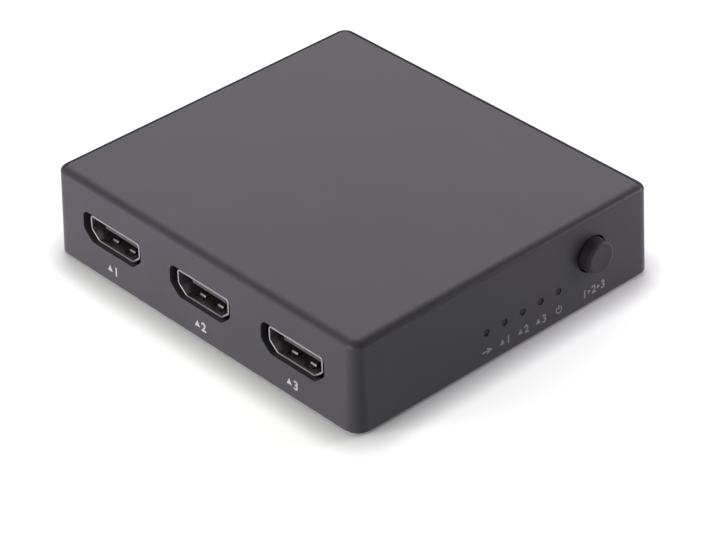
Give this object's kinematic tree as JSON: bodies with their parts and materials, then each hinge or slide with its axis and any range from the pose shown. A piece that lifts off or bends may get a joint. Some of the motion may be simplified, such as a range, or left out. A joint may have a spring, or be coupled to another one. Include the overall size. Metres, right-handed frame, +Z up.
{
  "type": "hdmi switch box",
  "caption": "Low black plastic box with leaning walls: video sockets on one side, output and power on the other, a push button and small lights in front to choose the input.",
  "frame": {"origin": "on the surface the box stands on, under the middle of its bounding box", "axes": "+Z up, -Y towards the button and the lights, -X towards the input sockets"},
  "size_m": [0.078, 0.0892, 0.02],
  "materials": {
    "case_plastic": "satin, fine spark texture",
    "base_plastic": "fine spark texture",
    "button_plastic": "satin",
    "foot_rubber": "matt",
    "screw_steel": "zinc-plated",
    "board_laminate": "solder mask",
    "socket_nickel": "nickel-plated",
    "socket_plastic": "matt",
    "contact_gold": "gold-plated",
    "tinned_metal": "tin-plated",
    "switch_plastic": "matt",
    "plunger_plastic": "matt",
    "slider_bronze": "plain",
    "light_epoxy": "clear",
    "guide_plastic": "smoked clear",
    "chip_epoxy": "matt",
    "can_aluminium": "satin",
    "ceramic_body": "matt"
  },
  "bodies": {
    "case": {"top_shell": "case_plastic", "base_plate": "base_plastic", "rubber_feet": "foot_rubber", "case_screws": "screw_steel", "board_screws": "screw_steel", "circuit_board": "board_laminate", "input_1_shell": "socket_nickel", "input_2_shell": "socket_nickel", "input_3_shell": "socket_nickel", "output_shell": "socket_nickel", "input_1_insulator": "socket_plastic", "input_2_insulator": "socket_plastic", "input_3_insulator": "socket_plastic", "output_insulator": "socket_plastic", "power_jack_housing": "socket_plastic", "input_1_contacts": "contact_gold", "input_2_contacts": "contact_gold", "input_3_contacts": "contact_gold", "output_contacts": "contact_gold", "power_jack_pin": "tinned_metal", "power_jack_leaf": "tinned_metal", "switch_terminals": "tinned_metal", "switch_chip_leads": "tinned_metal", "controller_leads": "tinned_metal", "memory_leads": "tinned_metal", "regulator_leads": "tinned_metal", "crystal": "tinned_metal", "switch_spring": "tinned_metal", "switch_housing": "switch_plastic", "switch_base": "switch_plastic", "led_output": "light_epoxy", "led_input_1": "light_epoxy", "led_input_2": "light_epoxy", "led_input_3": "light_epoxy", "led_power": "light_epoxy", "light_guide": "guide_plastic", "switch_chip": "chip_epoxy", "controller_chip": "chip_epoxy", "memory_chips": "chip_epoxy", "regulator": "chip_epoxy", "capacitor_bases": "chip_epoxy", "chip_resistors": "chip_epoxy", "ferrite_beads": "chip_epoxy", "capacitor_cans": "can_aluminium", "ceramic_capacitors": "ceramic_body"},
    "button": {"select_button": "button_plastic", "switch_plunger": "plunger_plastic", "switch_slider": "slider_bronze"}
  },
  "joints": [
    {"name": "button_press", "type": "slide", "parent": "case", "child": "button", "axis": [0, 1, 0], "range_m": [0, 0.0015], "stiffness_N_per_m": 600, "springref_m": -0.001, "deforming": ["switch_spring"]}
  ]
}
